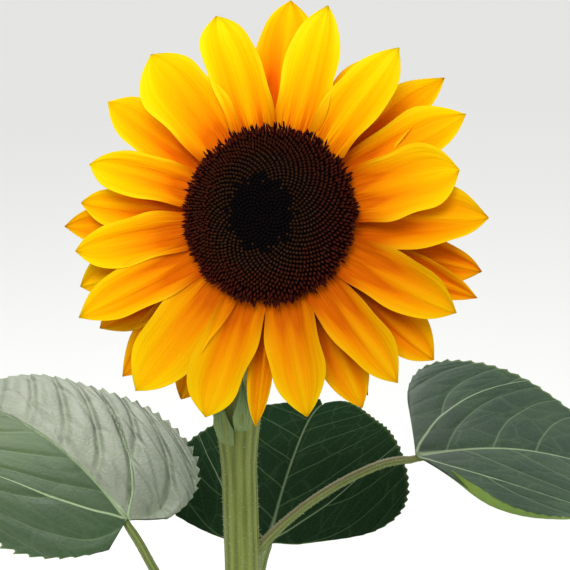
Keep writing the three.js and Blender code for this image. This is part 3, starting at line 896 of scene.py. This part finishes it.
def petiole_path(leaf, steps):
    """From the stem's axis, rising on a slope that changes evenly from one end to the other."""
    first, last = leaf.rise
    slope = np.radians(first + (last - first) * (np.arange(steps)[:, None] + 0.5) / steps)
    move = leaf.petiole / steps * (np.cos(slope) * heading(leaf.azimuth) + np.sin(slope) * Z_AXIS)
    return stem_axis(leaf.height) + np.vstack([np.zeros(3), np.cumsum(move, 0)])


def blade_parts(leaf, place, rng):
    """The blade: a fan of columns from the petiole to the toothed margin, with a top and an underside.

    It is lifted by |sin| puckers between the veins, less a keel over the midrib, plus two sine ruffles that
    grow towards the margin, three products of sines as broad bumps, and the rolled margin.
    """
    length, thick = leaf.length, leaf.thick
    steps = TEETH * len(TOOTH)
    number = np.arange(-steps, steps + 1)
    index, side = np.abs(number), np.sign(number)
    along, across = leaf_margin(leaf.back)
    trace = run_length(coords(along, across))
    even = np.linspace(0, trace[-1], steps + 1)[index]
    a, b = np.interp(even, trace, along), np.interp(even, trace, across) * side
    bite = TOOTH[-index % len(TOOTH)]
    bite = bite * np.interp(index / steps, [0, 0.06, 0.2, 0.75, 0.95, 1], [0, 0.4, 1, 1, 0.3, 0])
    bite = bite * rng.uniform(0.7, 1.2, len(index))
    share = np.append(0.995 * (np.arange(1, BLADE_RINGS) / (BLADE_RINGS - 1)) ** 0.9, 1)[:, None]
    spread = share * (1 + TOOTH_DEPTH * leaf.teeth * (bite - 0.5) * share**14 / np.hypot(a, b))
    a, b = a * spread, b * spread

    reach = vein_reach(a, b)
    ahead, behind = reach / VEIN_STEP + VEIN_SHIFT * (b > 0), (abs(b) + reach * LOBE_LEAN) / LOBE_STEP
    veins = np.abs(np.sin(np.pi * np.where(reach > 0, ahead, behind))) ** 0.7
    lift = QUILT_HEIGHT * leaf.quilt * length * veins
    lift = lift * clamp(abs(b) / 0.07) * clamp((1.02 - share) / 0.2)
    lift = lift * (1 - FRESH_CALM * leaf.fresh * (b > 0))
    lift = lift - KEEL_DEPTH * length * np.exp(-((b / 0.018) ** 2)) * clamp(1.1 - a)
    trace, phase = even * length, leaf.phase
    wave = np.sin(trace / 34 + side * phase + phase) + 0.5 * np.sin(trace / 15 + side + 2 * phase)
    lift = lift + wave * share**3 * 0.013 * length
    for _ in range(3):
        bump = rng.uniform(0.002, 0.004) * length * share
        for flat in (a, b):
            bump = bump * np.sin(flat * rng.uniform(8, 16) + rng.uniform(0, 6))
        lift = lift + bump
    rolled = abs(leaf.curl) * clamp((np.sign(leaf.curl) * b - 0.05) / 0.17)
    lift = lift + rolled * clamp((share - 0.86) / 0.14) ** 1.5 - thick * 0.3

    top = place(a * length, b * length, lift)
    under = place(a * length, b * length, lift - thick * 0.5 * np.sqrt(clamp(1 - share**6)))
    hubs = place(np.zeros(2), np.zeros(2), -thick * np.array([0.3, 0.8]))
    points = np.vstack([hubs, top.reshape(-1, 3), under[:-1].reshape(-1, 3)])
    columns = len(index)
    top_index = 2 + np.arange(BLADE_RINGS * columns).reshape(-1, columns)
    under_index = np.vstack([top_index[:-1] + top_index.size, top_index[-1:]])
    quads, tris = [], []
    for grid, centre, turned in ((top_index, 0, 1), (under_index, 1, -1)):
        quad = coords(grid[:-1, :-1], grid[1:, :-1], grid[1:, 1:], grid[:-1, 1:]).reshape(-1, 4)
        quads.append(quad[:, ::turned])
        tris.append(coords(centre, grid[0, :-1], grid[0, 1:])[:, ::turned])
    for column, turned in ((0, 1), (-1, -1)):
        up, down = top_index[:, column], under_index[:, column]
        quads.append(coords(up[:-2], down[:-2], down[1:-1], up[1:-1])[:, ::turned])
        quads.append(np.array([[0, 1, down[0], up[0]]])[:, ::turned])
        tris.append(np.array([[up[-2], down[-2], up[-1]]])[:, ::turned])
    drawn = coords(a, b, share).reshape(-1, 3)
    drawn = np.vstack([np.zeros((2, 3)), drawn, drawn[:-columns]])
    under = np.repeat([0, 1, 0, 1], [1, 1, top_index.size, top_index.size - columns])
    part = points, [np.vstack(quads), np.vstack(tris)]
    return part, drawn[:, :2], {"under": under, "rim": drawn[:, 2]}


def make_leaf(number, leaf, materials):
    """A leaf in three pieces: blade, bristles, and the petiole with the midrib that it runs on into.

    The petiole is channelled above and bends up to the midrib in its last fifth. The midrib lies under the
    blade and thins to its tip.
    """
    node = [f"leaf_{number:02d}"]
    length = leaf.length
    rng = np.random.default_rng(100 + number)
    stalk = petiole_path(leaf, 40)
    place = leaf_place(leaf, stalk[-1])
    part, uv, marks = blade_parts(leaf, place, rng)
    fresh, right = leaf.fresh * (uv[:, 1] > 0), uv[:, 1] < 0
    marks.update(seed=rng.random(), dusk=leaf.dusk, fresh=fresh, bloom=leaf.bloom * right)
    marks.update(hem=leaf.hem * right, quilt=leaf.quilt * (1 - FRESH_CALM * fresh))
    # Leaves with much painted shade take a copy of the leaf material without gloss.
    material = materials["dim_leaf" if leaf.dusk > 0.5 else "leaf"]
    piece(f"blade_{number:02d}", part, material, node, uv, marks)

    girth = length * 0.0105 + 0.5
    share = np.hstack([np.linspace(0.006, 0.5, 26), np.linspace(0.53, 0.97, 14)])
    run = share * length
    rib_radius = girth * (0.3 + 0.5 * np.exp(-share / 0.05)) * (1 - share) ** 0.7 + 0.12
    under = leaf.thick * 0.8 + KEEL_DEPTH * length * (1 - np.exp(-share / 0.02)) + rib_radius * 0.85
    rib_path = place(run, 0 * run, -under)
    from_axis = np.linalg.norm(stalk[:, :2] - stalk[0, :2], axis=1)
    stalk = stalk[np.searchsorted(from_axis, stem_radius(leaf.height) * 0.5):-1]
    fade = np.linspace(0, 1, len(stalk))
    drop = rib_path[0] - place(run[:1], 0 * run[:1])[0]
    path = np.vstack([stalk + clamp(fade * 5 - 4)[:, None] ** 2 * drop, rib_path])
    radii = np.append(girth * (1.3 - 0.3 * clamp(fade * 4) - 0.12 * fade), rib_radius)
    smooth = np.convolve(np.pad(radii, 3, mode="edge"), np.ones(7) / 7, "valid")
    turn, along = turns(40), run_length(path)
    wave, relief = ribs(turn, along[:, None], PETIOLE_RIBS, PETIOLE_RIB_DEPTH)
    channel = PETIOLE_CHANNEL * np.exp(-(((turn - np.pi / 2) / 0.4) ** 2))
    relief = relief - channel * clamp(1.2 - along[:, None] / leaf.petiole)
    rings = tube(path, smooth, np.cross(Z_AXIS, heading(leaf.azimuth)), turn, relief)
    marks = {
        "rib": np.append(wave * 0.5 + 0.5, [0.5, 0.5]),
        "upper": leaf.blush * np.append(0 * wave + np.sin(turn) * 0.5 + 0.5, [0.5, 0.5]),
    }
    uv = wrap(turn * 0.6, along / 60)
    piece(f"petiole_{number:02d}", skin(rings), materials["petiole"], node, uv, marks)
    hairs = bristles(rings[2:len(stalk)], count=int(leaf.petiole * 4), length=0.9, seed=40 + number)
    piece(f"petiole_bristles_{number:02d}", hairs, materials["hair"], node)


# What most leaves share: no turn from the petiole's way, equal halves, no rolled margin or painted bright
# hem, no blush on the petiole, and no painted sheen, freshness or painted shade on the blade.
PLAIN_LEAF = dict(
    roll=0, turn=0, widths=(1, 1), back=BLADE_BACK, curl=0, hem=0, blush=0, bloom=0, fresh=0, dusk=0,
    quilt=0.6, teeth=1,
)


def spiral_leaf(k):
    """The k-th leaf down from the top one, by the plant's rule."""
    length = LARGEST_BLADE * (1 - ((k - 5) / 10.5) ** 2)
    fold = 9 + 3 * math.sin(k * 3.1)
    return dict(
        PLAIN_LEAF, azimuth=TOP_AZIMUTH + GOLDEN_ANGLE * k, petiole=8 + length * 0.5,
        height=TOP_HEIGHT - INTERNODE * k + INTERNODE_LOSS * k * (k - 1) / 2, length=length,
        rise=(56 - 1.5 * k, 26 - 3 * k), pitch=8 - 3 * k, droop=48 + 9 * math.sin(k * 2.4),
        roll=8 * math.sin(k * 1.7), fold=(fold, fold),
    )


def make_leaves(**materials):
    """The spiral's leaves, the first two fitted to the photograph, and two more, numbered from the top."""
    leaves = [spiral_leaf(k) for k in range(LEAF_COUNT)]
    # The top leaf arches out to the right and tips its face forward; painted shade darkens its blade.
    leaves[0].update(
        petiole=103, rise=(54, 9.5), turn=10.7, length=170, pitch=-0.6, droop=50, roll=17.6,
        fold=(-3.3, 6.7), widths=(1.15, 1), back=-0.06, curl=-7, hem=1, quilt=0.35, dusk=0.42, blush=1,
    )
    # The second rises to the left and bends over, with a painted pale sheen on its right half.
    leaves[1].update(
        height=641.9, petiole=101, rise=(30, 64.4), turn=-15.6, length=187, pitch=29.5, droop=65, roll=-4,
        fold=(-2, 3), widths=(1, 0.87), back=0.07, quilt=2.2, bloom=0.8, fresh=1, teeth=1.8,
    )
    # One more stands behind the stem, darkened by painted shade, and a small one behind the neck.
    leaves += [
        dict(
            PLAIN_LEAF, azimuth=80, height=648, petiole=76, rise=(50, 16), length=180, pitch=16, droop=34,
            fold=(7, 7), dusk=0.92, quilt=0.2, teeth=0.7,
        ),
        dict(
            PLAIN_LEAF, azimuth=97, height=802, petiole=26, rise=(50, 30), length=78, pitch=20, droop=40,
            fold=(8, 8),
        ),
    ]
    leaves.sort(key=lambda leaf: -leaf["height"])
    for number, leaf in enumerate(leaves, 1):
        leaf.update(thick=leaf["length"] * BLADE_THICKNESS, phase=number * 1.3)
        make_leaf(number, SimpleNamespace(**leaf), materials)


def look(target, distance, elevation, offset, width):
    """The photograph's camera, with the target off the picture's middle and width in view there."""
    tilt = math.radians(elevation)
    ahead = np.array([0, math.cos(tilt), -math.sin(tilt)])
    up = np.array([0, math.sin(tilt), math.cos(tilt)])
    data = bpy.data.cameras.new("photo_camera")
    data.lens = data.sensor_width * distance / width
    camera = add("photo_camera", data)
    camera.location = (target - distance * ahead - [offset[0], 0, 0] - offset[1] * up) * MM
    camera.rotation_euler = (math.pi / 2 - tilt, 0, 0)
    bpy.context.scene.camera = camera


def lamp(name, place, target, size, power, colour=(1, 1, 1)):
    """A round soft lamp that faces its target, in metres and watts."""
    data = bpy.data.lights.new(name, "AREA")
    data.shape = "DISK"
    data.size = size
    data.energy = power
    data.color = colour
    made = add(name, data)
    made.location = place
    x, y, z = np.subtract(target, place)
    made.rotation_euler = (math.atan2(math.hypot(x, y), -z), 0, math.atan2(y, x) - math.pi / 2)


def studio():
    """A pale floor, a soft sky, a broad sun and two lamps."""
    half = 14.0
    mesh = bpy.data.meshes.new("floor")
    corners = [(-half, -half, 0), (half, -half, 0), (half, half, 0), (-half, half, 0)]
    mesh.from_pydata(corners, [], [(0, 1, 2, 3)])
    mesh.materials.append(Paint("floor_pale").finish((0.72, 0.72, 0.7, 1), 0.85))
    floor = add("floor", mesh)
    world = bpy.data.worlds.new("studio")
    world.use_nodes = True
    sky = world.node_tree.nodes["Background"].inputs
    sky["Color"].default_value = (0.93, 0.96, 1.0, 1)
    sky["Strength"].default_value = 0.6
    bpy.context.scene.world = world
    data = bpy.data.lights.new("sky_key", "SUN")
    data.energy = 2.1
    data.angle = math.radians(35)
    data.color = (1, 0.98, 0.94)
    add("sky_key", data).rotation_euler = (math.radians(36), math.radians(-14), 0)
    lamp("fill", (1.6, -1.2, 1.5), (0, 0, 0.7), size=1.4, power=10, colour=(0.94, 0.97, 1))
    lamp("back", (-0.3, 1.5, 2.1), (0, 0, 0.8), size=1.2, power=26)
    bpy.context.scene.view_settings.view_transform = "Standard"


look(HEAD_PLACE, distance=950, elevation=20, offset=(-6.45, 30.1), width=245)
studio()

hair = plain_paint("bristle", srgb(214, 222, 188), roughness=0.6, dark=0.9)
make_rays(ray_paint())
make_disc()
make_bracts(bract_paint())
green = stalk_paint("stem_skin", srgb(91, 104, 39), srgb(132, 142, 71))
make_cup(green)
make_stem(green, hair)
make_leaves(
    leaf=leaf_paint("leaf_blade", gloss=0.35),
    # The same leaf without gloss, for the leaves with painted shade.
    dim_leaf=leaf_paint("leaf_blade_shaded", gloss=0.0),
    petiole=stalk_paint("petiole_skin", srgb(86, 102, 44), srgb(128, 140, 76), srgb(128, 112, 84)),
    hair=hair,
)
